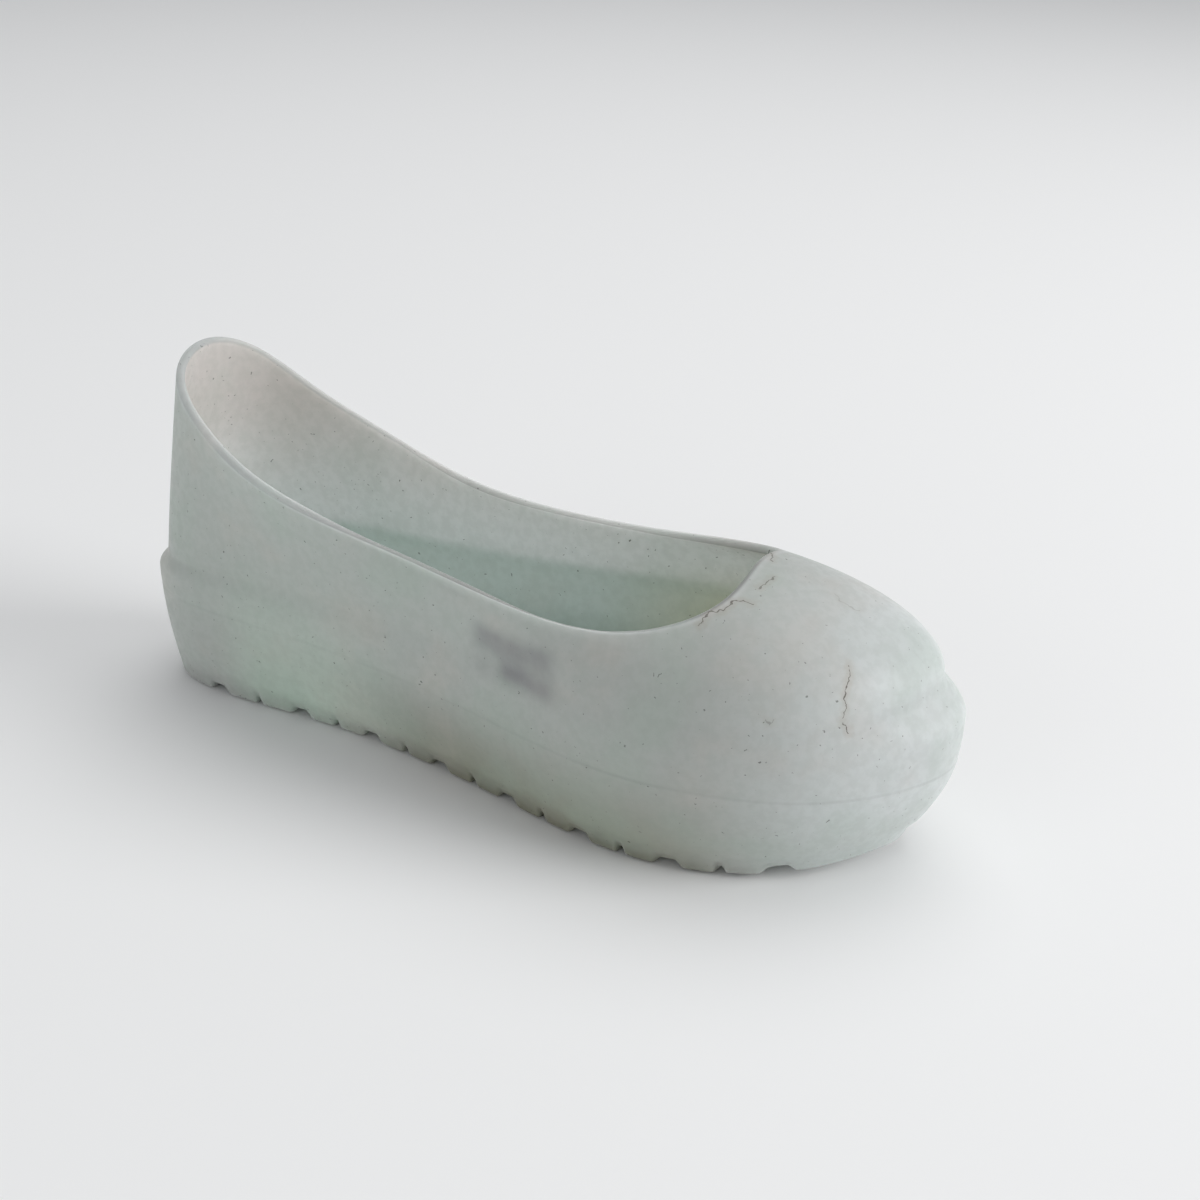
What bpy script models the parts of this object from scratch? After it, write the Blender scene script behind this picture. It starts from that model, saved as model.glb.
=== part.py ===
"""Rubber overshoe for the right foot: one hollow moulding of silicone rubber.

Metres, +Z up. X runs from the heel to the toe and +Y is the medial side. The
lugs stand on Z = 0, with the origin under the middle of the widest outline.
"""

import math
from collections import namedtuple

import bmesh
import bpy
import numpy as np

# Overall sizes of the widest outline, which runs round the sole part like a belt.
LENGTH = 0.305
WIDTH = 0.106

# The collar, which is the edge of the foot opening.
HEEL_HEIGHT = 0.1295
SIDE_HEIGHT = 0.077
VAMP_HEIGHT = 0.095
COLLAR_BACK = 0.0165
COLLAR_LENGTH = 0.219
COLLAR_WIDTH = 0.0875

# Heights of the mould's parting line and of the shoulder that takes a shoe's sole.
PARTING_HEEL = 0.0385
PARTING_TOE = 0.0365
SHOULDER_HEEL = 0.0495
SHOULDER_TOE = 0.0585
SHOULDER_RISE_HEEL = 0.006
SHOULDER_RISE_TOE = 0.014
SHOULDER_DEPTH = 0.0084

# The sole.
SOLE_TAPER = 0.0108
SOLE_EDGE_RADIUS = 0.0035
TOE_SPRING = 0.0085
TOE_SPRING_START = 0.228
FOOTBED_THICKNESS = 0.0063
FOOTBED_FILLET = 0.004
WALL = 0.003
RIM_CROWN = 0.001

# Lugs in pairs: a wide groove between the pairs, a narrow one inside each but the pair at the
# toe, which is one lug. The grooves bow towards the toe, and their places are those of their ends.
TREAD_DEPTH = 0.0032
HEEL_GROOVE = 0.0295
TREAD_START = 0.0666
TREAD_PITCH = 0.0319
TREAD_END_MARGIN = 0.012
TREAD_BOW = 0.006
WIDE_GROOVE = 0.010
NARROW_GROOVE = 0.0038
GROOVE_FLANK = 0.0012

RING_POINTS = 72
RIM_STEPS = 4
UPPER_LEVELS = 7
SHOULDER_LEVELS = 4
SIDE_LEVELS = 3
GROOVE_STEPS = 8

# The widest outline, from the heel to the toe: along is a share of LENGTH, lateral and
# medial are shares of half the WIDTH, the two steps are shares of SHOULDER_DEPTH on the
# lateral and on the medial side, and taper is a share of SOLE_TAPER.
OutlineRow = namedtuple("OutlineRow", "along lateral medial step_lateral step_medial taper")
OUTLINE = (
    OutlineRow(along=0.000, lateral=0.00, medial=0.00,
               step_lateral=0.62, step_medial=0.62, taper=0.43),
    OutlineRow(along=0.033, lateral=0.48, medial=0.46,
               step_lateral=0.38, step_medial=0.42, taper=0.47),
    OutlineRow(along=0.151, lateral=0.62, medial=0.72,
               step_lateral=0.14, step_medial=0.24, taper=0.55),
    OutlineRow(along=0.305, lateral=0.65, medial=0.75,
               step_lateral=0.08, step_medial=0.20, taper=0.80),
    OutlineRow(along=0.496, lateral=0.81, medial=0.84,
               step_lateral=0.08, step_medial=0.20, taper=0.88),
    OutlineRow(along=0.680, lateral=1.00, medial=1.00,
               step_lateral=0.10, step_medial=0.25, taper=0.90),
    OutlineRow(along=0.829, lateral=0.87, medial=0.97,
               step_lateral=0.14, step_medial=0.40, taper=0.95),
    OutlineRow(along=0.936, lateral=0.49, medial=0.71,
               step_lateral=0.40, step_medial=0.70, taper=0.95),
    OutlineRow(along=1.000, lateral=-0.18, medial=0.18,
               step_lateral=1.00, step_medial=1.00, taper=0.92),
)

# The collar, from the heel to the vamp: along is a share of COLLAR_LENGTH, lateral and medial
# are shares of half the COLLAR_WIDTH. The two rises are shares of the rise from SIDE_HEIGHT to
# the heel on the lateral and on the medial side, vamp_rise is the share of the rise to the vamp,
# and lean is the wall's angle from upright there, in degrees.
CollarRow = namedtuple("CollarRow", "along lateral medial rise_lateral rise_medial vamp_rise lean")
COLLAR = (
    CollarRow(along=0.000, lateral=0.00, medial=0.00,
              rise_lateral=1.00, rise_medial=1.00, vamp_rise=0.00, lean=16),
    CollarRow(along=0.030, lateral=0.53, medial=0.54,
              rise_lateral=0.88, rise_medial=0.83, vamp_rise=0.00, lean=17),
    CollarRow(along=0.124, lateral=0.79, medial=0.79,
              rise_lateral=0.61, rise_medial=0.51, vamp_rise=0.00, lean=30),
    CollarRow(along=0.273, lateral=0.95, medial=0.92,
              rise_lateral=0.39, rise_medial=0.22, vamp_rise=0.00, lean=34),
    CollarRow(along=0.469, lateral=0.89, medial=0.86,
              rise_lateral=0.20, rise_medial=0.06, vamp_rise=0.00, lean=38),
    CollarRow(along=0.686, lateral=1.01, medial=0.99,
              rise_lateral=0.10, rise_medial=0.00, vamp_rise=0.00, lean=46),
    CollarRow(along=0.871, lateral=0.98, medial=0.96,
              rise_lateral=0.02, rise_medial=0.00, vamp_rise=0.22, lean=55),
    CollarRow(along=0.989, lateral=0.55, medial=0.57,
              rise_lateral=0.00, rise_medial=0.00, vamp_rise=0.71, lean=63),
    CollarRow(along=1.000, lateral=-0.08, medial=0.08,
              rise_lateral=0.00, rise_medial=0.00, vamp_rise=1.00, lean=60),
)

# How far the lowest stretch of the upper already leans at the heel, in degrees.
LEAN_AT_SHOULDER = 12
# Share of the sole's taper that is left at the parting line, and how hollow or full it runs
# down from there: 1 is straight and more is fuller. Then where the belt is widest.
TAPER_AT_PARTING = 0.05
TAPER_FULLNESS = 1.5
WIDEST_SHARE = 0.6

SILICONE_COLOUR = (0.60, 0.66, 0.63, 1.0)
SILICONE_ROUGHNESS = 0.5


def clear_scene():
    for old in list(bpy.data.objects):
        bpy.data.objects.remove(old, do_unlink=True)


def silicone_material():
    material = bpy.data.materials.new("silicone_rubber")
    material.use_nodes = True
    shader = material.node_tree.nodes["Principled BSDF"]
    shader.inputs["Base Color"].default_value = SILICONE_COLOUR
    shader.inputs["Roughness"].default_value = SILICONE_ROUGHNESS
    shader.inputs["Metallic"].default_value = 0.0
    return material


def closed_curve(values):
    """Samples of the smooth closed curve through values that are evenly spaced round a ring."""
    values = np.asarray(values, float)
    count = len(values)
    neighbours = np.roll(np.eye(count), 1, axis=1) + np.roll(np.eye(count), -1, axis=1)
    chords = np.roll(values, -1) - np.roll(values, 1)
    slopes = np.linalg.solve(4 * np.eye(count) + neighbours, 3 * chords)
    place = np.arange(RING_POINTS) * count / RING_POINTS
    first = place.astype(int)
    second = (first + 1) % count
    t = place - first
    from_values = values[first] * (2 * t**3 - 3 * t**2 + 1) + values[second] * (3 * t**2 - 2 * t**3)
    from_slopes = slopes[first] * (t**3 - 2 * t**2 + t) + slopes[second] * (t**3 - t**2)
    return from_values + from_slopes


def around(rows, lateral_column, medial_column=None, medial_sign=1):
    """A table's columns as one ring: heel, lateral side, toe, then back along the medial side."""
    lateral = [getattr(row, lateral_column) for row in rows]
    medial = [medial_sign * getattr(row, medial_column or lateral_column) for row in rows]
    return closed_curve(lateral + medial[-2:0:-1])


def blend(heel_value, toe_value, share):
    return heel_value + (toe_value - heel_value) * share


def smooth_step(t):
    return t * t * (3 - 2 * t)


def sole_lift(x):
    """Height of the tread's face over the ground: flat, then sprung up towards the toe tip."""
    past_start = np.clip((x - TOE_SPRING_START) / (LENGTH - TOE_SPRING_START), 0, 1)
    return TOE_SPRING * past_start**2


def outward_directions(x, y):
    """Unit normals of the ring in plan, pointing out."""
    along_x = np.roll(x, -1) - np.roll(x, 1)
    along_y = np.roll(y, -1) - np.roll(y, 1)
    size = np.hypot(along_x, along_y)
    return along_y / size, -along_x / size


class Outline:
    """The widest outline, with what each of its points has above and below it."""

    def __init__(self):
        self.x = around(OUTLINE, "along") * LENGTH
        # The lateral side is at -Y.
        self.y = -around(OUTLINE, "lateral", "medial", medial_sign=-1) * WIDTH / 2
        self.normal_x, self.normal_y = outward_directions(self.x, self.y)
        self.step = around(OUTLINE, "step_lateral", "step_medial") * SHOULDER_DEPTH
        self.taper = around(OUTLINE, "taper") * SOLE_TAPER
        share = np.clip(self.x / LENGTH, 0, 1)
        self.lift = sole_lift(self.x)
        self.parting = blend(PARTING_HEEL, PARTING_TOE, share)
        rise = blend(SHOULDER_RISE_HEEL, SHOULDER_RISE_TOE, share)
        self.shoulder_low = blend(SHOULDER_HEEL, SHOULDER_TOE, share) - rise / 2
        self.shoulder_high = self.shoulder_low + rise

    def ring(self, inset, z):
        x = self.x - self.normal_x * inset
        y = self.y - self.normal_y * inset
        return np.stack([x, y, z], axis=1)

    def side_inset(self, z):
        """Inset of the tapered side below the parting line, at the heights z."""
        edge_top = self.lift + SOLE_EDGE_RADIUS
        depth_share = np.clip((self.parting - z) / (self.parting - edge_top), 0, 1)
        return self.taper * blend(TAPER_AT_PARTING, 1, depth_share**TAPER_FULLNESS)


def sole_edge_rings(outline):
    """The rounded edge of the tread's face and the tapered side above it."""
    rings = []
    for angle in (0, 30, 60, 90):
        turn = math.radians(angle)
        inset = outline.taper + SOLE_EDGE_RADIUS * (1 - math.sin(turn))
        z = outline.lift + SOLE_EDGE_RADIUS * (1 - math.cos(turn))
        rings.append(outline.ring(inset, z))
    for level in range(1, SIDE_LEVELS + 1):
        edge_top = outline.lift + SOLE_EDGE_RADIUS
        z = blend(edge_top, outline.parting, level / (SIDE_LEVELS + 1))
        rings.append(outline.ring(outline.side_inset(z), z))
    return rings


def belt_rings(outline):
    """The parting line, the widest line and the shoulder's S-shaped step, from below."""
    rings = [outline.ring(outline.side_inset(outline.parting), outline.parting)]
    widest = blend(outline.parting, outline.shoulder_low, WIDEST_SHARE)
    rings.append(outline.ring(0, widest))
    for level in range(SHOULDER_LEVELS + 1):
        share = level / SHOULDER_LEVELS
        z = blend(outline.shoulder_low, outline.shoulder_high, share)
        rings.append(outline.ring(outline.step * smooth_step(share), z))
    return rings


def collar_ring():
    x = COLLAR_BACK + around(COLLAR, "along") * COLLAR_LENGTH
    y = -around(COLLAR, "lateral", "medial", medial_sign=-1) * COLLAR_WIDTH / 2
    heel = around(COLLAR, "rise_lateral", "rise_medial") * (HEEL_HEIGHT - SIDE_HEIGHT)
    vamp = around(COLLAR, "vamp_rise") * (VAMP_HEIGHT - SIDE_HEIGHT)
    # The crown of the rim stands above this ring.
    return np.stack([x, y, SIDE_HEIGHT - RIM_CROWN + heel + vamp], axis=1)


def upper_rings(outline, base):
    """Arcs from the shoulder to the collar, upright at first and leaning in at the top."""
    collar = collar_ring()
    last = np.radians(around(COLLAR, "lean"))
    toe_share = np.clip(outline.x / LENGTH * 2 - 1, 0, 1) ** 2
    first = np.radians(blend(LEAN_AT_SHOULDER, 0, toe_share))
    rings = []
    for level in range(1, UPPER_LEVELS + 1):
        angle = blend(first, last, level / UPPER_LEVELS)
        inward = (np.cos(first) - np.cos(angle)) / (np.cos(first) - np.cos(last))
        upward = (np.sin(angle) - np.sin(first)) / (np.sin(last) - np.sin(first))
        rings.append(base + (collar - base) * np.stack([inward, inward, upward], axis=1))
    return rings


def surface_normals(grid):
    """Outward unit normals of a grid of rings that runs up the outside."""
    round_ring = np.roll(grid, -1, axis=1) - np.roll(grid, 1, axis=1)
    up_wall = np.gradient(grid, axis=0)
    normals = np.cross(round_ring, up_wall)
    return normals / np.linalg.norm(normals, axis=2, keepdims=True)


def rim_rings(outer, normal, up):
    """The rounded rim, from the outer wall's top over to the inner one's."""
    middle = outer - normal * WALL / 2
    rings = []
    for step in range(1, RIM_STEPS):
        turn = math.pi * step / RIM_STEPS
        across = normal * (WALL / 2 * math.cos(turn))
        rings.append(middle + across + up * (RIM_CROWN * math.sin(turn)))
    return rings


def footbed_rings(outline):
    """The inner side's foot and the fillet into the flat footbed, from above."""
    floor = outline.lift + TREAD_DEPTH + FOOTBED_THICKNESS
    rings = []
    for angle in (0, 45, 90):
        turn = math.radians(angle)
        z = floor + FOOTBED_FILLET * (1 - math.sin(turn))
        wall_inset = outline.side_inset(floor + FOOTBED_FILLET) + WALL
        rings.append(outline.ring(wall_inset + FOOTBED_FILLET * (1 - math.cos(turn)), z))
    return rings


def shell_rings():
    """All the rings, up the outside, over the rim and down the inside."""
    outline = Outline()
    edge = sole_edge_rings(outline)
    belt = belt_rings(outline)
    upper = upper_rings(outline, belt[-1])
    wall = np.array(belt + upper)
    normals = surface_normals(wall)
    up = wall[-1] - wall[-2]
    up /= np.linalg.norm(up, axis=1, keepdims=True)
    inside = wall - normals * WALL
    rim = rim_rings(wall[-1], normals[-1], up)
    rings = edge + list(wall) + rim + list(inside[::-1]) + footbed_rings(outline)
    middle = [(outline.x.min() + outline.x.max()) / 2, (outline.y.min() + outline.y.max()) / 2, 0]
    return [ring - middle for ring in rings], middle


def bridge(mesh, lower, upper):
    count = len(lower)
    for i in range(count):
        j = (i + 1) % count
        mesh.faces.new((lower[i], lower[j], upper[j], upper[i]))


def cap_across(mesh, ring, facing_up):
    """Closes a ring with strips that run across it, from the lateral to the medial side."""
    half = len(ring) // 2
    for i in range(half):
        corners = [ring[i], ring[i + 1], ring[-i - 1], ring[-i % len(ring)]]
        corners = list(dict.fromkeys(corners))
        mesh.faces.new(corners if facing_up else corners[::-1])


def moulding_mesh():
    """The hollow overshoe before its tread is cut, and how far it was moved to the origin."""
    rings, moved = shell_rings()
    mesh = bmesh.new()
    rows = [[mesh.verts.new(point) for point in ring] for ring in rings]
    for lower, upper in zip(rows, rows[1:]):
        bridge(mesh, lower, upper)
    cap_across(mesh, rows[0], facing_up=False)
    cap_across(mesh, rows[-1], facing_up=True)
    bmesh.ops.recalc_face_normals(mesh, faces=mesh.faces)
    data = bpy.data.meshes.new("overshoe")
    mesh.to_mesh(data)
    mesh.free()
    return data, moved


def groove_section(x, width):
    """Corners of a groove's cutter where it crosses x: the roof is narrower than the mouth."""
    roof = float(sole_lift(x)) + TREAD_DEPTH
    below = -TREAD_DEPTH
    flank = GROOVE_FLANK * (roof - below) / TREAD_DEPTH
    half_roof = width / 2 - GROOVE_FLANK
    half_mouth = half_roof + flank
    return ((-half_mouth, below), (half_mouth, below), (half_roof, roof), (-half_roof, roof))


def add_groove(mesh, place, width, moved):
    """A bowed bar right across the sole, lofted through sections from side to side."""
    sections = []
    for step in range(GROOVE_STEPS + 1):
        across = 2 * step / GROOVE_STEPS - 1
        x = place + TREAD_BOW * (1 - across**2)
        y = across * (WIDTH / 2 + WALL)
        corners = groove_section(x, width)
        sections.append([mesh.verts.new((x + dx - moved[0], y - moved[1], z)) for dx, z in corners])
    for first, second in zip(sections, sections[1:]):
        bridge(mesh, first, second)
    mesh.faces.new(sections[0])
    mesh.faces.new(sections[-1][::-1])


def groove_cutter(moved):
    wide = [HEEL_GROOVE]
    place = TREAD_START
    while place < LENGTH - TREAD_END_MARGIN:
        wide.append(place)
        place += TREAD_PITCH
    mesh = bmesh.new()
    for place in wide:
        add_groove(mesh, place, WIDE_GROOVE, moved)
    for before, after in zip(wide, wide[1:-1]):
        add_groove(mesh, (before + after) / 2, NARROW_GROOVE, moved)
    bmesh.ops.recalc_face_normals(mesh, faces=mesh.faces)
    data = bpy.data.meshes.new("tread_grooves")
    mesh.to_mesh(data)
    mesh.free()
    return bpy.data.objects.new("tread_grooves", data)


def new_collection(name):
    collection = bpy.data.collections.new(name)
    bpy.context.scene.collection.children.link(collection)
    return collection


def build_overshoe():
    data, moved = moulding_mesh()
    overshoe = bpy.data.objects.new("overshoe", data)
    overshoe.data.materials.append(silicone_material())
    new_collection("rubber_overshoe").objects.link(overshoe)

    grooves = groove_cutter(moved)
    grooves.hide_render = True
    grooves.display_type = "WIRE"
    new_collection("cutters").objects.link(grooves)

    cut = overshoe.modifiers.new("tread", "BOOLEAN")
    cut.operation = "DIFFERENCE"
    cut.solver = "EXACT"
    cut.object = grooves
    overshoe.data.shade_smooth()
    overshoe.data.set_sharp_from_angle(angle=math.radians(40))


clear_scene()
build_overshoe()
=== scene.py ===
import math
from collections import namedtuple
from functools import partial

import bmesh
import bpy
import numpy as np
from mathutils import Matrix, Vector, noise


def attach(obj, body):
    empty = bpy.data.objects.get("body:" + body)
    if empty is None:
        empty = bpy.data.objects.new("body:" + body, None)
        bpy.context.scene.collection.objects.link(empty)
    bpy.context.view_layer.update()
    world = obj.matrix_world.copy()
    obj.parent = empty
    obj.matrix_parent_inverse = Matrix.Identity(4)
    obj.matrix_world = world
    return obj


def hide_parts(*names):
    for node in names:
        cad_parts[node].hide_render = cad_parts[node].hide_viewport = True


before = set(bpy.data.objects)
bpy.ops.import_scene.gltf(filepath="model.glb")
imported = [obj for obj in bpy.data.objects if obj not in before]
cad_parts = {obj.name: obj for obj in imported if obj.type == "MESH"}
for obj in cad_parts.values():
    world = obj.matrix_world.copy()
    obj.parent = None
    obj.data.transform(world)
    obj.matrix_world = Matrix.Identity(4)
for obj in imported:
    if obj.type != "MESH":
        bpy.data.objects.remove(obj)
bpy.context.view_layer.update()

MM = 0.001
IMAGE_PIXELS = 1200
# From the heel's back edge on the ground to the middle of the moulding's outline.
SHOE_MIDDLE = Vector((0.1525, 0.000366, 0.0))

# The moulding's own sizes, in metres, the same as the solid's.
LENGTH = 0.305
WIDTH = 0.106
HEEL_HEIGHT = 0.1295
SIDE_HEIGHT = 0.077
VAMP_HEIGHT = 0.095
COLLAR_BACK = 0.0165
COLLAR_LENGTH = 0.219
COLLAR_WIDTH = 0.0875
PARTING_HEEL = 0.0385
PARTING_TOE = 0.0365
SHOULDER_HEEL = 0.0495
SHOULDER_TOE = 0.0585
SHOULDER_RISE_HEEL = 0.006
SHOULDER_RISE_TOE = 0.014
SHOULDER_DEPTH = 0.0084
SOLE_TAPER = 0.0108
SOLE_EDGE_RADIUS = 0.0035
TOE_SPRING = 0.0085
TOE_SPRING_START = 0.228
FOOTBED_THICKNESS = 0.0063
FOOTBED_FILLET = 0.004
WALL = 0.003
RIM_CROWN = 0.001
TREAD_DEPTH = 0.0032
HEEL_GROOVE = 0.0295
TREAD_START = 0.0666
TREAD_PITCH = 0.0319
TREAD_END_MARGIN = 0.012
TREAD_BOW = 0.006
WIDE_GROOVE = 0.010
NARROW_GROOVE = 0.0038
TAPER_AT_PARTING = 0.05
TAPER_FULLNESS = 1.5
WIDEST_SHARE = 0.6
LEAN_AT_SHOULDER = 12

# The widest outline, from the heel to the toe, in shares: along, lateral, medial, lateral step,
# medial step and taper.
OUTLINE = np.array((
    (0.000, 0.00, 0.00, 0.62, 0.62, 0.43),
    (0.033, 0.48, 0.46, 0.38, 0.42, 0.47),
    (0.151, 0.62, 0.72, 0.14, 0.24, 0.55),
    (0.305, 0.65, 0.75, 0.08, 0.20, 0.80),
    (0.496, 0.81, 0.84, 0.08, 0.20, 0.88),
    (0.680, 1.00, 1.00, 0.10, 0.25, 0.90),
    (0.829, 0.87, 0.97, 0.14, 0.40, 0.95),
    (0.936, 0.49, 0.71, 0.40, 0.70, 0.95),
    (1.000, -0.18, 0.18, 1.00, 1.00, 0.92),
)).T
# The collar, from the heel to the vamp, in shares: along, lateral, medial, lateral and medial
# rise to the heel, and rise to the vamp. Then how far the wall leans there, in degrees.
COLLAR = np.array((
    (0.000, 0.00, 0.00, 1.00, 1.00, 0.00, 16),
    (0.030, 0.53, 0.54, 0.88, 0.83, 0.00, 17),
    (0.124, 0.79, 0.79, 0.61, 0.51, 0.00, 30),
    (0.273, 0.95, 0.92, 0.39, 0.22, 0.00, 34),
    (0.469, 0.89, 0.86, 0.20, 0.06, 0.00, 38),
    (0.686, 1.01, 0.99, 0.10, 0.00, 0.00, 46),
    (0.871, 0.98, 0.96, 0.02, 0.00, 0.22, 55),
    (0.989, 0.55, 0.57, 0.00, 0.00, 0.71, 63),
    (1.000, -0.08, 0.08, 0.00, 0.00, 1.00, 60),
)).T

# What the solid leaves out: the mould's thin lip, the round edges of the lugs, how far up the side
# the grooves reach, the slow unevenness, and how far down from the rim its lighter band and the painted
# shade on its crown reach.
PARTING_LIP = 0.06 * MM
PARTING_LIP_REACH = 0.5 * MM
FLANK_ROUND = 0.5 * MM
WIDE_FLANK = 3.2 * MM
NARROW_FLANK = 1.9 * MM
LUG_REACH = 0.012
UNEVEN = 0.8 * MM
UNEVEN_LENGTH = 0.07
UNEVEN_FROM = 0.06
UNEVEN_SEED = 3
RIM_BAND = 0.005

# How finely the moulding is made.
FINE = 4096
EVEN_PICKS = 76
FLANK_PICKS = 5
TIP_SHARE = 0.05
EDGE_LEVELS = 6
SIDE_LEVELS = 14
BELT_LEVELS = 6
SHOULDER_LEVELS = 12
UPPER_LEVELS = 34
RIM_STEPS = 8
SOLE_STEPS = 12
FILLET_STEPS = 6
MERGE_REACH = 0.02 * MM


def closed_curve(values):
    """The smooth closed curve through evenly spaced values, at FINE places round the ring."""
    count = len(values)
    neighbours = np.roll(np.eye(count), 1, axis=1) + np.roll(np.eye(count), -1, axis=1)
    chords = np.roll(values, -1) - np.roll(values, 1)
    slopes = np.linalg.solve(4 * np.eye(count) + neighbours, 3 * chords)
    place = np.arange(FINE) * count / FINE
    first = place.astype(int)
    second = (first + 1) % count
    t = place - first
    rise = 3 * t**2 - 2 * t**3
    by_value = values[first] * (1 - rise) + values[second] * rise
    by_slope = slopes[first] * (t**3 - 2 * t**2 + t) + slopes[second] * (t**3 - t**2)
    return by_value + by_slope


def around(lateral, medial):
    """Heel, lateral side, toe, then back along the medial side."""
    return closed_curve(np.concatenate([lateral, medial[-2:0:-1]]))


def blend(a, b, share):
    return a + (b - a) * share


def smooth_step(t):
    t = np.clip(t, 0, 1)
    return t * t * (3 - 2 * t)


def sole_lift(x):
    """Height of the tread's face: flat, then sprung up towards the toe."""
    past = np.clip((x - TOE_SPRING_START) / (LENGTH - TOE_SPRING_START), 0, 1)
    return TOE_SPRING * past**2


class Outline:
    """The widest outline, with what each of its points has above and below it."""

    def __init__(self):
        self.x = around(OUTLINE[0], OUTLINE[0]) * LENGTH
        self.y = -around(OUTLINE[1], -OUTLINE[2]) * WIDTH / 2
        along_x = np.roll(self.x, -1) - np.roll(self.x, 1)
        along_y = np.roll(self.y, -1) - np.roll(self.y, 1)
        size = np.hypot(along_x, along_y)
        self.normal_x, self.normal_y = along_y / size, -along_x / size
        self.step = around(OUTLINE[3], OUTLINE[4]) * SHOULDER_DEPTH
        self.taper = around(OUTLINE[5], OUTLINE[5]) * SOLE_TAPER
        share = np.clip(self.x / LENGTH, 0, 1)
        self.lift = sole_lift(self.x)
        self.parting = blend(PARTING_HEEL, PARTING_TOE, share)
        rise = blend(SHOULDER_RISE_HEEL, SHOULDER_RISE_TOE, share)
        self.shoulder_low = blend(SHOULDER_HEEL, SHOULDER_TOE, share) - rise / 2
        self.shoulder_high = self.shoulder_low + rise

    def ring(self, inset, z):
        x = self.x - self.normal_x * inset
        y = self.y - self.normal_y * inset
        return np.stack([x, y, z + 0 * x], axis=1)

    def side_inset(self, z):
        """Inset of the tapered side below the parting line."""
        edge_top = self.lift + SOLE_EDGE_RADIUS
        depth = np.clip((self.parting - z) / (self.parting - edge_top), 0, 1)
        return self.taper * blend(TAPER_AT_PARTING, 1, depth**TAPER_FULLNESS)


def side_rings(line):
    """The rounded edge of the lugs and the side up to just below the parting line."""
    rings = []
    for turn in np.linspace(0, math.pi / 2, EDGE_LEVELS):
        inset = line.taper + SOLE_EDGE_RADIUS * (1 - math.sin(turn))
        z = line.lift + SOLE_EDGE_RADIUS * (1 - math.cos(turn))
        rings.append(tread_cut(line.ring(inset, z)))
    edge_top = line.lift + SOLE_EDGE_RADIUS
    for share in np.linspace(0, 1, SIDE_LEVELS)[1:]:
        z = blend(edge_top, line.parting - PARTING_LIP_REACH, share)
        z = tread_cut(line.ring(line.side_inset(z), z))[:, 2]
        rings.append(line.ring(line.side_inset(z), z))
    return rings


def lip_rings(line):
    """A thin lip where the two halves of the mould met."""
    inset = line.side_inset(line.parting)
    low = line.ring(inset - PARTING_LIP, line.parting - PARTING_LIP_REACH / 4)
    high = line.ring(inset - PARTING_LIP, line.parting + PARTING_LIP_REACH / 4)
    return [low, high]


def wall_rings(line):
    """The wall from just over the parting line, over the shoulder, up to the collar."""
    rings = []
    start = line.parting + PARTING_LIP_REACH
    widest = blend(line.parting, line.shoulder_low, WIDEST_SHARE)
    inset = line.side_inset(line.parting)
    for share in np.linspace(0, 1, BELT_LEVELS):
        bulge = 1 - math.sin(share * math.pi / 2)
        rings.append(line.ring(inset * bulge, blend(start, widest, share)))
    for share in np.linspace(0, 1, SHOULDER_LEVELS):
        z = blend(line.shoulder_low, line.shoulder_high, share)
        rings.append(line.ring(line.step * smooth_step(share), z))
    base = rings[-1]
    x = COLLAR_BACK + around(COLLAR[0], COLLAR[0]) * COLLAR_LENGTH
    y = -around(COLLAR[1], -COLLAR[2]) * COLLAR_WIDTH / 2
    heel = around(COLLAR[3], COLLAR[4]) * (HEEL_HEIGHT - SIDE_HEIGHT)
    vamp = around(COLLAR[5], COLLAR[5]) * (VAMP_HEIGHT - SIDE_HEIGHT)
    collar = np.stack([x, y, SIDE_HEIGHT - RIM_CROWN + heel + vamp], axis=1)
    last = np.radians(around(COLLAR[6], COLLAR[6]))
    toe_share = np.clip(line.x / LENGTH * 2 - 1, 0, 1) ** 2
    first = np.radians(blend(LEAN_AT_SHOULDER, 0, toe_share))
    for share in np.linspace(0, 1, UPPER_LEVELS + 1)[1:]:
        angle = blend(first, last, share)
        inward = (np.cos(first) - np.cos(angle)) / (np.cos(first) - np.cos(last))
        upward = (np.sin(angle) - np.sin(first)) / (np.sin(last) - np.sin(first))
        rings.append(base + (collar - base) * np.stack([inward, inward, upward], axis=1))
    return rings


def wall_normals(grid):
    """Outward directions of the wall at each point of its rings."""
    round_ring = np.roll(grid, -1, axis=1) - np.roll(grid, 1, axis=1)
    normals = np.cross(round_ring, np.gradient(grid, axis=0))
    return normals / np.linalg.norm(normals, axis=2, keepdims=True)


def rim_rings(outer, normal, up):
    """The rounded rim, from the outer wall's top over to the inner one's."""
    middle = outer - normal * WALL / 2
    rings = []
    for turn in np.linspace(0, math.pi, RIM_STEPS + 1)[1:-1]:
        across = normal * (WALL / 2 * math.cos(turn))
        rings.append(middle + across + up * (RIM_CROWN * math.sin(turn)))
    return rings


def footbed_rings(line):
    """The inner wall's foot and the fillet into the footbed, from above."""
    floor = line.lift + TREAD_DEPTH + FOOTBED_THICKNESS
    inset = line.side_inset(floor + FOOTBED_FILLET) + WALL
    rings = []
    for turn in np.linspace(0, math.pi / 2, FILLET_STEPS):
        z = floor + FOOTBED_FILLET * (1 - math.sin(turn))
        rings.append(line.ring(inset + FOOTBED_FILLET * (1 - math.cos(turn)), z))
    return rings


def groove_places():
    """Where each groove lies along the sole, half its width and its flank's width."""
    wide = list(np.arange(TREAD_START, LENGTH - TREAD_END_MARGIN, TREAD_PITCH))
    wide.insert(0, HEEL_GROOVE)
    grooves = [(place, WIDE_GROOVE / 2, WIDE_FLANK) for place in wide]
    grooves += [((a + b) / 2, NARROW_GROOVE / 2, NARROW_FLANK) for a, b in zip(wide, wide[1:-1])]
    return sorted(grooves)


GROOVES = groove_places()


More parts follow.
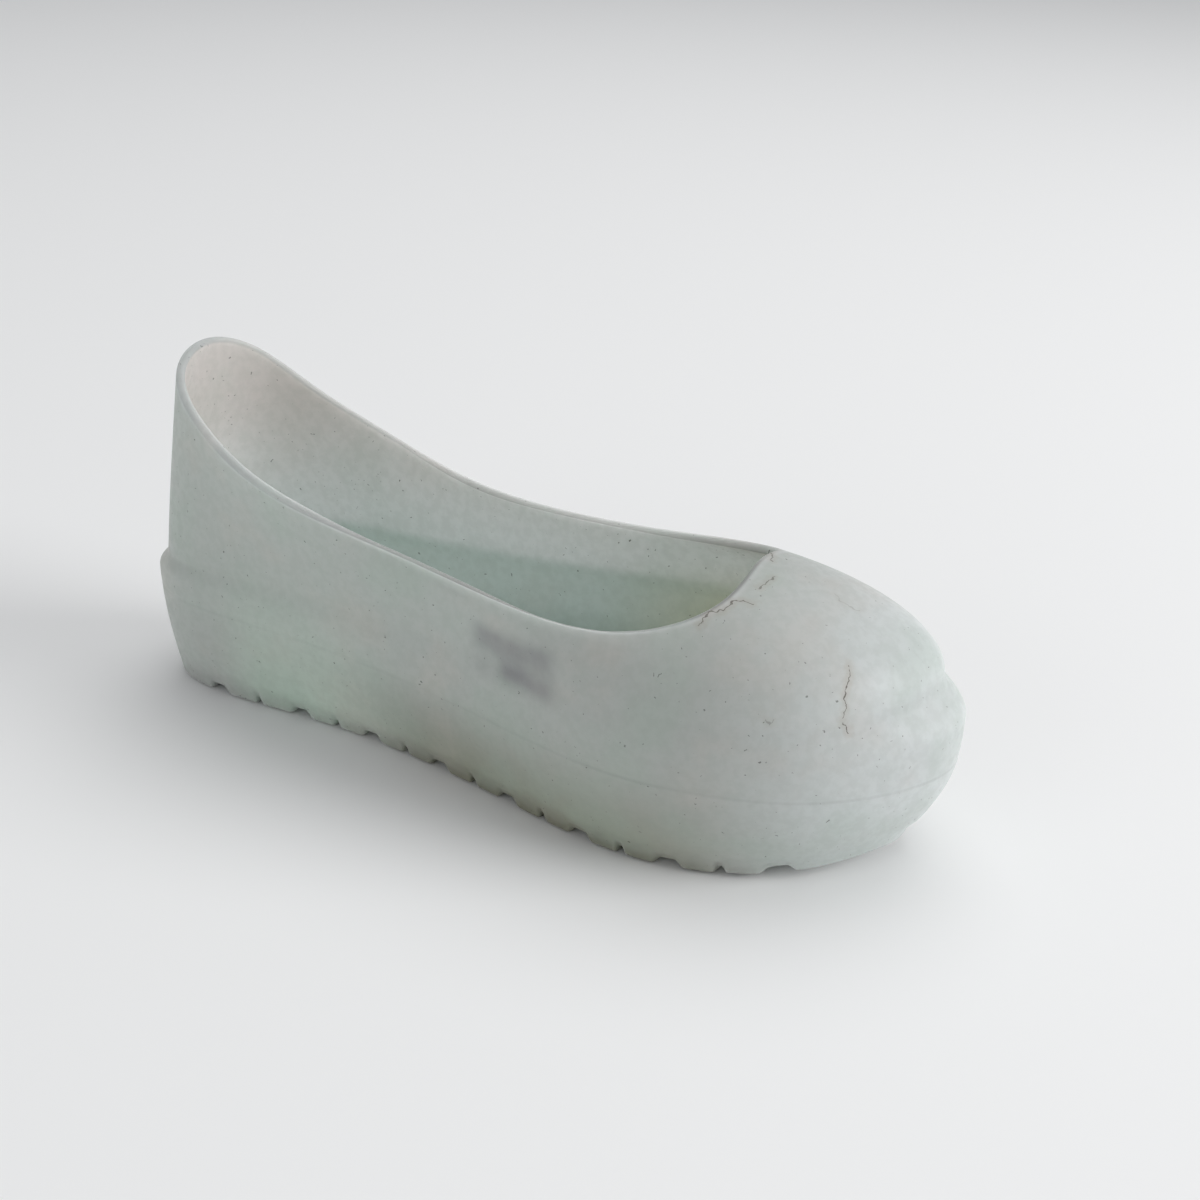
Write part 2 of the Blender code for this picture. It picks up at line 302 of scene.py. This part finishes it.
def tread_bow(y):
    """How far a groove has bowed towards the toe at this place across."""
    return TREAD_BOW * (1 - (y / (WIDTH / 2 + WALL)) ** 2)


def along_tread(x, y):
    """Place along the sole, measured where the bowed groove through it meets the edge."""
    return x - tread_bow(y)


def tread_cut(points):
    """Lifts the sole's face into the grooves, less and less up the side, with round edges."""
    place = along_tread(points[:, 0], points[:, 1])
    depth = 0 * place
    for middle, half, flank in GROOVES:
        inside = (half + FLANK_ROUND - np.abs(place - middle)) / flank
        depth = np.maximum(depth, TREAD_DEPTH * smooth_step(inside))
    height = points[:, 2] - sole_lift(points[:, 0])
    cut = points.copy()
    cut[:, 2] += depth * np.clip(1 - height / LUG_REACH, 0, 1)
    return cut


def ring_picks(edge):
    """Places round the ring, closer together at the grooves' flanks, paired from side to side."""
    half = FINE // 2
    place = along_tread(edge[:, 0], edge[:, 1])
    lateral = np.maximum.accumulate(place[: half + 1])
    medial = np.maximum.accumulate(place[np.arange(FINE, half - 1, -1) % FINE])
    flanks = [middle + side * (reach + FLANK_ROUND - flank * share)
              for middle, reach, flank in GROOVES
              for side in (-1, 1)
              for share in np.linspace(0, 1, FLANK_PICKS)]
    margin = half * TIP_SHARE
    picks = sorted({int(p) for p in np.searchsorted(lateral, flanks) if margin < p < half - margin})
    gap = half / EVEN_PICKS / 2
    evenly = np.linspace(0, half, EVEN_PICKS).astype(int)
    picks += [p for p in evenly if all(abs(p - q) > gap for q in picks)]
    picks = np.array(sorted(picks))
    paired = np.searchsorted(medial, lateral[picks])
    near_tip = smooth_step(np.minimum(picks, half - picks) / margin - 1)
    paired = np.round(blend(picks, paired, near_tip)).astype(int)
    return np.concatenate([picks, (FINE - paired[-2:0:-1]) % FINE])


def strips_across(edge, count):
    """Rings that shrink from an edge to the line midway between its two sides."""
    line = (edge + edge[-np.arange(len(edge)) % len(edge)]) / 2
    return [blend(edge, line, share) for share in np.linspace(0, 1, count + 1)[1:]]


def sole_strips(line, picks):
    """The lugs' faces, from the middle line out, in strips that bow like the grooves."""
    edge = line.ring(line.taper + SOLE_EDGE_RADIUS, line.lift)[picks]
    edge[:, 0] = along_tread(edge[:, 0], edge[:, 1])
    strips = strips_across(edge, SOLE_STEPS)[::-1]
    for strip in strips:
        strip[:, 0] += tread_bow(strip[:, 1])
        strip[:, 2] = sole_lift(strip[:, 0])
    return [tread_cut(strip) for strip in strips]


def all_rings():
    """Every ring of the moulding, from the sole's middle line round to the footbed's, each
    with its share of being inside the shoe and of being at the rim."""
    line = Outline()
    side = side_rings(line)
    wall = np.array(wall_rings(line))
    picks = ring_picks(side[-SIDE_LEVELS])
    normals = wall_normals(wall)
    up = wall[-1] - wall[-2]
    up /= np.linalg.norm(up, axis=1, keepdims=True)
    rim = rim_rings(wall[-1], normals[-1], up)
    inner = list((wall - normals * WALL)[::-1]) + footbed_rings(line)
    outer = sole_strips(line, picks)
    outer += [ring[picks] for ring in side + lip_rings(line) + list(wall)]
    rim = [ring[picks] for ring in rim]
    inner = [ring[picks] for ring in inner]
    inner += strips_across(inner[-1], SOLE_STEPS)
    rings = outer + rim + inner
    inside = np.concatenate([np.zeros(len(outer)), np.full(len(rim), 0.5), np.ones(len(inner))])
    crown = rings[len(outer) + len(rim) // 2]
    near_rim = [np.clip(1 - np.linalg.norm(ring - crown, axis=1) / RIM_BAND, 0, 1) for ring in rings]
    return rings, inside, near_rim


def settle(point):
    """Slow unevenness of a soft moulding that has been worn: none at the tread."""
    share = smooth_step(point.z / UNEVEN_FROM)
    return point + noise.noise_vector(point / UNEVEN_LENGTH) * (UNEVEN * float(share))


def next_ring(mesh, loop):
    """Extrudes a loop's edges and gives the new loop in the same order."""
    edges = [mesh.edges.get((a, b)) for a, b in zip(loop, loop[1:] + loop[:1])]
    made = bmesh.ops.extrude_edge_only(mesh, edges=edges)["geom"]
    fresh = {v for v in made if isinstance(v, bmesh.types.BMVert)}
    return [next(e.other_vert(v) for e in v.link_edges if e.other_vert(v) in fresh) for v in loop]


def new_piece(name, mesh, material):
    data = bpy.data.meshes.new(name)
    mesh.to_mesh(data)
    mesh.free()
    data.materials.append(material)
    piece = bpy.data.objects.new(name, data)
    bpy.context.scene.collection.objects.link(piece)
    return piece


def make_moulding():
    """The overshoe: a circle of vertices, extruded ring by ring along the moulding's wall."""
    rings, inside, near_rim = all_rings()
    # The noise starts from the clock unless it is given a seed.
    noise.seed_set(UNEVEN_SEED)
    mesh = bmesh.new()
    inside_layer = mesh.verts.layers.float.new("inside")
    rim_layer = mesh.verts.layers.float.new("near_rim")
    circle = bmesh.ops.create_circle(mesh, segments=len(rings[0]), radius=1.0)
    loop = sorted(circle["verts"], key=lambda v: math.atan2(v.co.y, v.co.x) % math.tau)
    for number, points in enumerate(rings):
        if number:
            loop = next_ring(mesh, loop)
        for vert, point, rim_share in zip(loop, points, near_rim[number]):
            vert.co = settle(Vector(point)) - SHOE_MIDDLE
            vert[inside_layer] = inside[number]
            vert[rim_layer] = rim_share
    bmesh.ops.remove_doubles(mesh, verts=mesh.verts, dist=MERGE_REACH)
    bmesh.ops.recalc_face_normals(mesh, faces=mesh.faces)
    for face in mesh.faces:
        face.smooth = True
    return new_piece("moulded_overshoe", mesh, silicone_rubber())


def colour(hex_value):
    """An sRGB hex colour as a linear one."""
    parts = [int(hex_value[i:i + 2], 16) / 255 for i in (0, 2, 4)]
    return tuple(c / 12.92 if c <= 0.04045 else ((c + 0.055) / 1.055) ** 2.4 for c in parts) + (1.0,)


def add_node(tree, kind, *inputs, values=(), output=None, **settings):
    """Adds one node with its settings. The inputs go in order to its sockets in use and the values
    to those they name, and an input that is another node's output is linked. It gives the output
    that is named, or else the first one in use."""
    node = tree.nodes.new("ShaderNode" + kind)
    for name, value in settings.items():
        setattr(node, name, value)
    pairs = list(zip([socket for socket in node.inputs if socket.enabled], inputs))
    pairs += [(node.inputs[name], value) for name, value in dict(values).items()]
    for socket, value in pairs:
        if isinstance(value, bpy.types.NodeSocket):
            tree.links.new(value, socket)
        else:
            socket.default_value = value
    return node.outputs[output] if output else next((s for s in node.outputs if s.enabled), None)


# Settings that many nodes share.
SOFT = {"interpolation_type": "SMOOTHSTEP"}
TIMES = {"operation": "MULTIPLY"}
LESS = {"operation": "SUBTRACT"}
COLOURS = {"data_type": "RGBA"}

# The rubber's layers of colour, each laid over the ones before: its sRGB colour, how strongly it
# is laid on and its bounds. A bound is what is measured, where the layer starts and where it is
# full. Along is from the middle towards the toe, across is towards the medial side, and height
# is over the ground, all in metres. Near rim is 0 at RIM_BAND from the crown and 1 on it.
Layer = namedtuple("Layer", "hex_value share bounds")
WAIST = (("along", -0.08, 0.0), ("along", 0.13, 0.05))
OUTER_SKIN = "afb2af"
OUTER_LAYERS = (
    # Painted shade low down, where the rubber is thick and near the floor, deepest at the waist.
    Layer("a6aba4", 0.12, (("height", 0.050, 0.0),)),
    Layer("8a8a78", 0.85, WAIST + (("height", 0.050, 0.0),)),
    # Painted light: a paler patch low at the heel, with a green tint, for light bounced up from the floor,
    # and the toe painted paler where the light falls on it.
    Layer("c3d5c6", 0.55, (("along", -0.12, -0.09), ("along", -0.02, -0.07), ("height", 0.075, 0.0))),
    Layer("d0d6d6", 0.75, (("along", 0.08, 0.14),)),
)
# The inside is painted paler than the outside: painted light, for light that shines through the thin walls
# into the shoe.
INNER_SKIN = "d7dad9"
INNER_LAYERS = (
    # Warmer high up; painted shade below the shoulder's ledge, under its overhang; and olive at the front,
    # with painted shade deep inside the toe.
    Layer("c8c1be", 1.0, (("height", 0.05, 0.11),)),
    Layer("b1bcb7", 0.60, (("over ledge", 0.0, -6 * MM),)),
    Layer("c3bda6", 1.0, (("along", 0.0, 0.08), ("height", 0.075, 0.04))),
)
RIM_SKIN = Layer("bdbdbe", 0.5, (("near rim", 0.15, 0.45),))
# The rim's crown is painted darker, most along the lateral side: painted shade, against the light that
# falls on the rim's top.
CROWN_SHADE_AT_HEEL = "9fa0a0"
CROWN_SHADE_LAYERS = (
    # Along the lateral side, then along the medial side.
    Layer("7c7c7a", 1.0, (("along", -0.09, -0.01),)),
    Layer("a9a7a5", 1.0, (("across", -0.005, 0.015),)),
)
CROWN_SHADE_SHARE = 0.9
CROWN_SHADE_BOUNDS = (("near rim", 0.45, 0.66),)
CLOUD_LAYERS = (
    Layer("a2b0a6", 0.30, (("clouds", 0.48, 0.68),)),
    Layer("beb6b0", 0.28, (("clouds", 0.50, 0.32),)),
)
CLOUDS_INSIDE = 0.4
GRAIN_LAYER = Layer("8a8f88", 0.12, (("grain", 0.35, 0.65),))

# Grime in the mould's parting line, with how its strength goes with the clouds and along the
# shoe, and painted shade low on the tread, with its strength off the waist and at it.
PARTING_GRIME = Layer("777a78", 1.0, (("from parting", 0.9 * MM, 0.1 * MM),))
PARTING_PATCHES = (0.35, 0.65, 0.05, 0.16)
PARTING_ALONG = (0.0, 0.09, 0.5, 1.2)
TREAD_SHADE = Layer("6d6a55", 1.0, (("height", 0.007, 0.0),))
TREAD_SHADE_SHARES = (0.08, 0.53)

# Patterns, in waves or cells to the metre: clouds some 40 mm across, grain of some 3 mm, the
# moulding's fine bloom of under a millimetre, the wander of what is drawn, and the smudge's smear.
CLOUDS = {"Scale": 24.0, "Detail": 3.0, "Roughness": 0.55}
GRAIN = {"Scale": 300.0, "Detail": 3.0, "Roughness": 0.6}
BLOOM = {"Scale": 1400.0, "Detail": 2.0}
WANDER = {"Scale": 380.0, "Detail": 2.0}
WANDER_REACH = 3.6 * MM
SMEAR = {"Scale": 90.0, "Detail": 0.5}
GRAIN_BUMP = {"Strength": 0.35, "Distance": 0.10 * MM}
BLOOM_BUMP = {"Strength": 0.35, "Distance": 0.03 * MM}

# How rough the skin is between the grain's low and high places, what the rim adds, and how the
# gloss falls off there: from and to in the measure, then from and to in the result.
ROUGH_GRAIN = (0.3, 0.7, 0.42, 0.58)
ROUGH_RIM = (0.3, 1.0, 0.0, 0.25)
GLOSS_RIM = (0.3, 0.9, 0.5, 0.1)

# Hairline cracks from wear: how strong, which way the skin faces, and points along it in
# millimetres.
CRACKS = (
    (0.85, (0.60, -0.65, 0.45), ((122.3, -19.7, 77.7), (123.8, -22.1, 75.1), (123.9, -26.5, 71.8),
                                 (125.4, -28.5, 67.1), (125.2, -29.8, 64.5), (127.5, -28.7, 59.8))),
    (0.75, (0.19, -0.29, 0.94), ((78.4, -33.1, 84.6), (79.0, -28.1, 87.3), (82.9, -25.0, 88.0),
                                 (83.7, -21.7, 89.2), (86.2, -19.3, 89.5), (89.9, -18.4, 89.1))),
    (0.60, (0.19, -0.13, 0.97), ((88.4, -11.4, 91.2), (89.6, -7.1, 91.8), (90.3, -3.3, 92.2))),
    (0.60, (0.00, 0.00, 1.00), ((85.9, 4.8, 93.4), (83.2, 12.4, 92.9))),
    (0.35, (0.43, -0.85, 0.31), ((105.6, -42.5, 65.0), (107.0, -42.4, 63.6), (107.6, -41.8, 64.6))),
    (0.25, (0.32, -0.05, 0.94), ((108.6, 2.1, 88.4), (112.8, 0.2, 87.2), (117.5, 1.1, 85.6))),
)
CRACK_TONE = "4d463c"
CRACK_WIDTH = (0.26 * MM, 0.07 * MM)
STAIN_TONE = "8f7456"
STAIN_WIDTH = (2.5 * MM, 0.3 * MM)
STAIN_SHARE = 0.2
# How much of the depth under the skin is left out of the distance from a crack, so that a crack
# isn't lost where the skin is uneven.
DEPTH_LEFT_OUT = 0.97

# Specks of dirt: how many cells to the metre, the share that holds one, its widest radius
# in metres and how strong it is.
SPECKS = ((520.0, 0.40, 0.32 * MM, 0.62), (170.0, 0.35, 0.50 * MM, 0.75))
SPECK_TONE = "4a4a46"

# The smudge's bars: from and to along, from and to in height (millimetres), and how strong.
SMUDGE = ((5, 38, 54, 72, 0.18), (5, 37, 63, 71.5, 0.24), (17, 38, 55.5, 62, 0.36))
SMUDGE_BLUR_ALONG = 4
SMUDGE_BLUR_HEIGHT = 3
SMUDGE_SIDE = (-0.03, -0.035)
SMUDGE_SMEAR = (0.2, 0.7, 0.7, 1.2)
SMUDGE_TONE = "757277"


def silicone_rubber():
    """Moulded silicone rubber, once clear and now milky: a satin skin with light that spreads
    under it, so thin walls look pale and the thick sole looks green and dull. Its colour also holds
    painted light and shade: a paler inside, toe and heel patch, and painted shade low down, under
    the inner ledge and on the rim's crown."""
    material = bpy.data.materials.new("moulded_silicone_rubber")
    material.use_nodes = True
    tree = material.node_tree
    tree.nodes.clear()
    add = partial(add_node, tree)
    place = add("TexCoord", output="Object")
    along, across, height = add("SeparateXYZ", place).node.outputs
    inside = add("Attribute", attribute_name="inside", output="Fac")
    near_rim = add("Attribute", attribute_name="near_rim", output="Fac")
    clouds = add("TexNoise", place, values=CLOUDS)
    grain = add("TexNoise", place, values=GRAIN)
    outer = add("Math", 1.0, inside, **LESS)
    measures = {"along": along, "across": across, "height": height,
                "near rim": near_rim, "clouds": clouds, "grain": grain}

    def bounded(share, bounds):
        for measure, start, full in bounds:
            mask = add("MapRange", measures[measure], start, full, **SOFT)
            share = add("Math", share, mask, **TIMES)
        return share

    def lay(under, layer, *masks):
        """Lays a layer's colour on what is under it."""
        share = bounded(layer.share, layer.bounds)
        for mask in masks:
            share = add("Math", share, mask, **TIMES)
        return add("Mix", share, under, colour(layer.hex_value), **COLOURS)

    def height_over(slope, middle):
        """Height over a line that is at the middle height halfway along the shoe."""
        line = add("Math", along, slope, **TIMES)
        return add("Math", add("Math", height, line, **LESS), middle, **LESS)

    rise_change = SHOULDER_RISE_TOE - SHOULDER_RISE_HEEL
    ledge_slope = (SHOULDER_TOE - SHOULDER_HEEL + rise_change / 2) / LENGTH
    ledge_middle = (SHOULDER_HEEL + SHOULDER_TOE) / 2 + (SHOULDER_RISE_HEEL + SHOULDER_RISE_TOE) / 4
    measures["over ledge"] = height_over(ledge_slope, ledge_middle)
    over_parting = height_over((PARTING_TOE - PARTING_HEEL) / LENGTH, (PARTING_HEEL + PARTING_TOE) / 2)
    measures["from parting"] = add("Math", over_parting, operation="ABSOLUTE")

    outside_tone = colour(OUTER_SKIN)
    for layer in OUTER_LAYERS:
        outside_tone = lay(outside_tone, layer)
    # The inside's paler tone is painted light, for light shining through the thin walls.
    inner_tone = colour(INNER_SKIN)
    for layer in INNER_LAYERS:
        inner_tone = lay(inner_tone, layer)
    # Painted shade on the rim's crown.
    crown_shade_tone = colour(CROWN_SHADE_AT_HEEL)
    for layer in CROWN_SHADE_LAYERS:
        crown_shade_tone = lay(crown_shade_tone, layer)
    tone = add("Mix", inside, outside_tone, inner_tone, **COLOURS)
    tone = lay(tone, RIM_SKIN, outer)
    tone = add("Mix", bounded(CROWN_SHADE_SHARE, CROWN_SHADE_BOUNDS), tone, crown_shade_tone, **COLOURS)
    cloudy = add("MapRange", outer, 0.0, 1.0, CLOUDS_INSIDE, 1.0)
    for layer in CLOUD_LAYERS:
        tone = lay(tone, layer, cloudy)
    tone = lay(tone, GRAIN_LAYER)

    patchy = add("MapRange", clouds, *PARTING_PATCHES, **SOFT)
    forward = add("MapRange", along, *PARTING_ALONG, **SOFT)
    tone = lay(tone, PARTING_GRIME, outer, patchy, forward)
    # Painted shade low on the tread, strongest at the waist.
    tone = lay(tone, TREAD_SHADE, add("MapRange", bounded(1.0, WAIST), 0.0, 1.0, *TREAD_SHADE_SHARES))

    # What is drawn from here on wanders a little, so that it has no straight or round edges.
    shift = add("TexNoise", place, values=WANDER, output="Color")
    shift = add("VectorMath", shift, (0.5, 0.5, 0.5), operation="SUBTRACT")
    shift = add("VectorMath", shift, WANDER_REACH, operation="SCALE")
    moved = add("VectorMath", place, shift, operation="ADD")

    # Specks of dirt and tiny holes, most of them under half a millimetre.
    for scale, share, radius, strength in SPECKS:
        cells = add("TexVoronoi", moved, values={"Scale": scale, "Randomness": 1.0}).node.outputs
        dice = add("SeparateColor", cells["Color"])
        reach = add("MapRange", dice, 1.0 - share, 1.0, 0.0, radius * scale)
        speck = add("Math", cells["Distance"], reach, operation="LESS_THAN")
        speck = add("Math", speck, strength, **TIMES)
        tone = add("Mix", speck, tone, colour(SPECK_TONE), **COLOURS)

    # Hairline cracks, with a faint rusty stain beside them.
    cracked, stained = 0.0, 0.0
    for strength, normal, run in CRACKS:
        normal = Vector(normal).normalized()
        nearest = None
        for start, end in zip(run, run[1:]):
            start, end = Vector(start) * MM, Vector(end) * MM
            step = end - start
            offset = add("VectorMath", moved, start, operation="SUBTRACT")
            share = add("VectorMath", offset, step / step.length_squared, operation="DOT_PRODUCT")
            share = add("Math", share, 0.0, operation="ADD", use_clamp=True)
            foot = add("VectorMath", step, share, operation="SCALE")
            away = add("VectorMath", offset, foot, operation="SUBTRACT")
            depth = add("VectorMath", away, normal, operation="PROJECT")
            depth = add("VectorMath", depth, DEPTH_LEFT_OUT, operation="SCALE")
            away = add("VectorMath", away, depth, operation="DISTANCE")
            nearest = away if nearest is None else add("Math", nearest, away, operation="MINIMUM")
        crack = add("Math", add("MapRange", nearest, *CRACK_WIDTH, **SOFT), strength, **TIMES)
        stain = add("Math", add("MapRange", nearest, *STAIN_WIDTH, **SOFT), strength * STAIN_SHARE, **TIMES)
        cracked = add("Math", cracked, crack, operation="MAXIMUM")
        stained = add("Math", stained, stain, operation="MAXIMUM")
    for share, hex_value in ((stained, STAIN_TONE), (cracked, CRACK_TONE)):
        tone = add("Mix", add("Math", share, outer, **TIMES), tone, colour(hex_value), **COLOURS)

    # A faded smudge on the lateral side: soft bars of mauve grey, without edges.
    smudge = 0.0
    for along_from, along_to, height_from, height_to, strength in SMUDGE:
        bar = strength
        edges = ((along, along_from, SMUDGE_BLUR_ALONG), (along, along_to, -SMUDGE_BLUR_ALONG),
                 (height, height_from, SMUDGE_BLUR_HEIGHT), (height, height_to, -SMUDGE_BLUR_HEIGHT))
        for measure, edge, blur in edges:
            mask = add("MapRange", measure, (edge - blur) * MM, (edge + blur) * MM, **SOFT)
            bar = add("Math", bar, mask, **TIMES)
        smudge = add("Math", smudge, bar, operation="ADD")
    smear = add("TexNoise", place, values=SMEAR)
    for mask in (add("MapRange", smear, *SMUDGE_SMEAR, **SOFT), outer,
                 add("MapRange", across, *SMUDGE_SIDE, **SOFT)):
        smudge = add("Math", smudge, mask, **TIMES)
    tone = add("Mix", smudge, tone, colour(SMUDGE_TONE), **COLOURS)

    # A satin skin that is duller and less glossy at the rim.
    rough = add("Math", add("MapRange", grain, *ROUGH_GRAIN, **SOFT),
                add("MapRange", near_rim, *ROUGH_RIM, **SOFT), operation="ADD")
    bloom = add("TexNoise", place, values=BLOOM)
    bump = add("Bump", values={**GRAIN_BUMP, "Height": grain})
    bump = add("Bump", values={**BLOOM_BUMP, "Height": bloom, "Normal": bump})
    skin = add("BsdfPrincipled", values={
        "Base Color": tone, "Roughness": rough, "IOR": 1.41, "Normal": bump,
        "Specular IOR Level": add("MapRange", near_rim, *GLOSS_RIM, **SOFT),
        "Subsurface Weight": 1.0, "Subsurface Scale": 0.010, "Subsurface Radius": (1.0, 1.1, 1.05)})
    add("OutputMaterial", values={"Surface": skin})
    return material


def matt_floor():
    """A sheet of matt white board: no gloss, so it only carries soft shadows."""
    material = bpy.data.materials.new("matt_white_board")
    material.use_nodes = True
    shader = material.node_tree.nodes["Principled BSDF"]
    shader.inputs["Base Color"].default_value = colour(FLOOR_TONE)
    shader.inputs["Roughness"].default_value = FLOOR_ROUGHNESS
    return material


# Name, place, size and power of the soft lights, which face LIGHTS_AIM.
LIGHTS = (
    ("window_light", (2.4, 0.5, 1.15), 1.6, 43.0),
    ("sky_light", (-0.2, 1.0, 2.6), 2.6, 23.5),
    ("room_light", (-0.8, -2.4, 0.7), 2.0, 9.0),
)
LIGHTS_AIM = (0, 0, 0.05)
FLOOR_SIZE = 3.0
FLOOR_TONE = "f2f2f2"
FLOOR_ROUGHNESS = 0.9
SURROUND_TONE = "f4f6f8"
SURROUND_STRENGTH = 0.46

# The camera, with places measured as SHOE_MIDDLE is: angles in degrees, metres and pixels.
CAMERA_AZIMUTH = 29.7
CAMERA_ELEVATION = 27.8
CAMERA_ROLL = 2.1
CAMERA_CENTRE = (0.1525, 0.0, 0.045)
CAMERA_DISTANCE = 0.5711
CAMERA_AIM = (0.1804, 0.0, 0.0666)
CAMERA_FOCUS_PIXELS = 1633.6
SENSOR_WIDTH = 36.0
NEAR_LIMIT = 0.01


def add_stage():
    """The floor, a plain pale surround and the soft lights."""
    mesh = bmesh.new()
    bmesh.ops.create_grid(mesh, x_segments=1, y_segments=1, size=FLOOR_SIZE)
    new_piece("floor", mesh, matt_floor())
    world = bpy.data.worlds.new("soft_surround")
    world.use_nodes = True
    surround = world.node_tree.nodes["Background"]
    surround.inputs["Color"].default_value = colour(SURROUND_TONE)
    surround.inputs["Strength"].default_value = SURROUND_STRENGTH
    bpy.context.scene.world = world
    for name, place, size, power in LIGHTS:
        data = bpy.data.lights.new(name, "AREA")
        data.shape = "DISK"
        data.size = size
        data.energy = power
        lamp = bpy.data.objects.new(name, data)
        bpy.context.scene.collection.objects.link(lamp)
        lamp.location = place
        facing = Vector(LIGHTS_AIM) - Vector(place)
        lamp.rotation_euler = facing.to_track_quat("-Z", "Y").to_euler()


def add_camera():
    """A camera with a 49 mm lens, looking down on the lateral side from in front."""
    azimuth = math.radians(CAMERA_AZIMUTH)
    elevation = math.radians(CAMERA_ELEVATION)
    away = Vector((math.sin(azimuth) * math.cos(elevation),
                   -math.cos(azimuth) * math.cos(elevation),
                   math.sin(elevation)))
    place = Vector(CAMERA_CENTRE) + away * CAMERA_DISTANCE
    forward = (Vector(CAMERA_AIM) - place).normalized()
    level_right = forward.cross(Vector((0, 0, 1))).normalized()
    level_up = level_right.cross(forward)
    roll = math.radians(CAMERA_ROLL)
    right = level_right * math.cos(roll) + level_up * math.sin(roll)
    up = level_up * math.cos(roll) - level_right * math.sin(roll)
    data = bpy.data.cameras.new("camera")
    data.sensor_width = SENSOR_WIDTH
    data.lens = SENSOR_WIDTH * CAMERA_FOCUS_PIXELS / IMAGE_PIXELS
    data.clip_start = NEAR_LIMIT
    camera = bpy.data.objects.new("camera", data)
    bpy.context.scene.collection.objects.link(camera)
    axes = Matrix((right, up, -forward)).transposed()
    camera.matrix_world = Matrix.Translation(place - SHOE_MIDDLE) @ axes.to_4x4()
    bpy.context.scene.camera = camera


add_camera()
add_stage()
overshoe = make_moulding()
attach(overshoe, "root")
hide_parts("overshoe")
bpy.context.scene.view_settings.view_transform = "Standard"
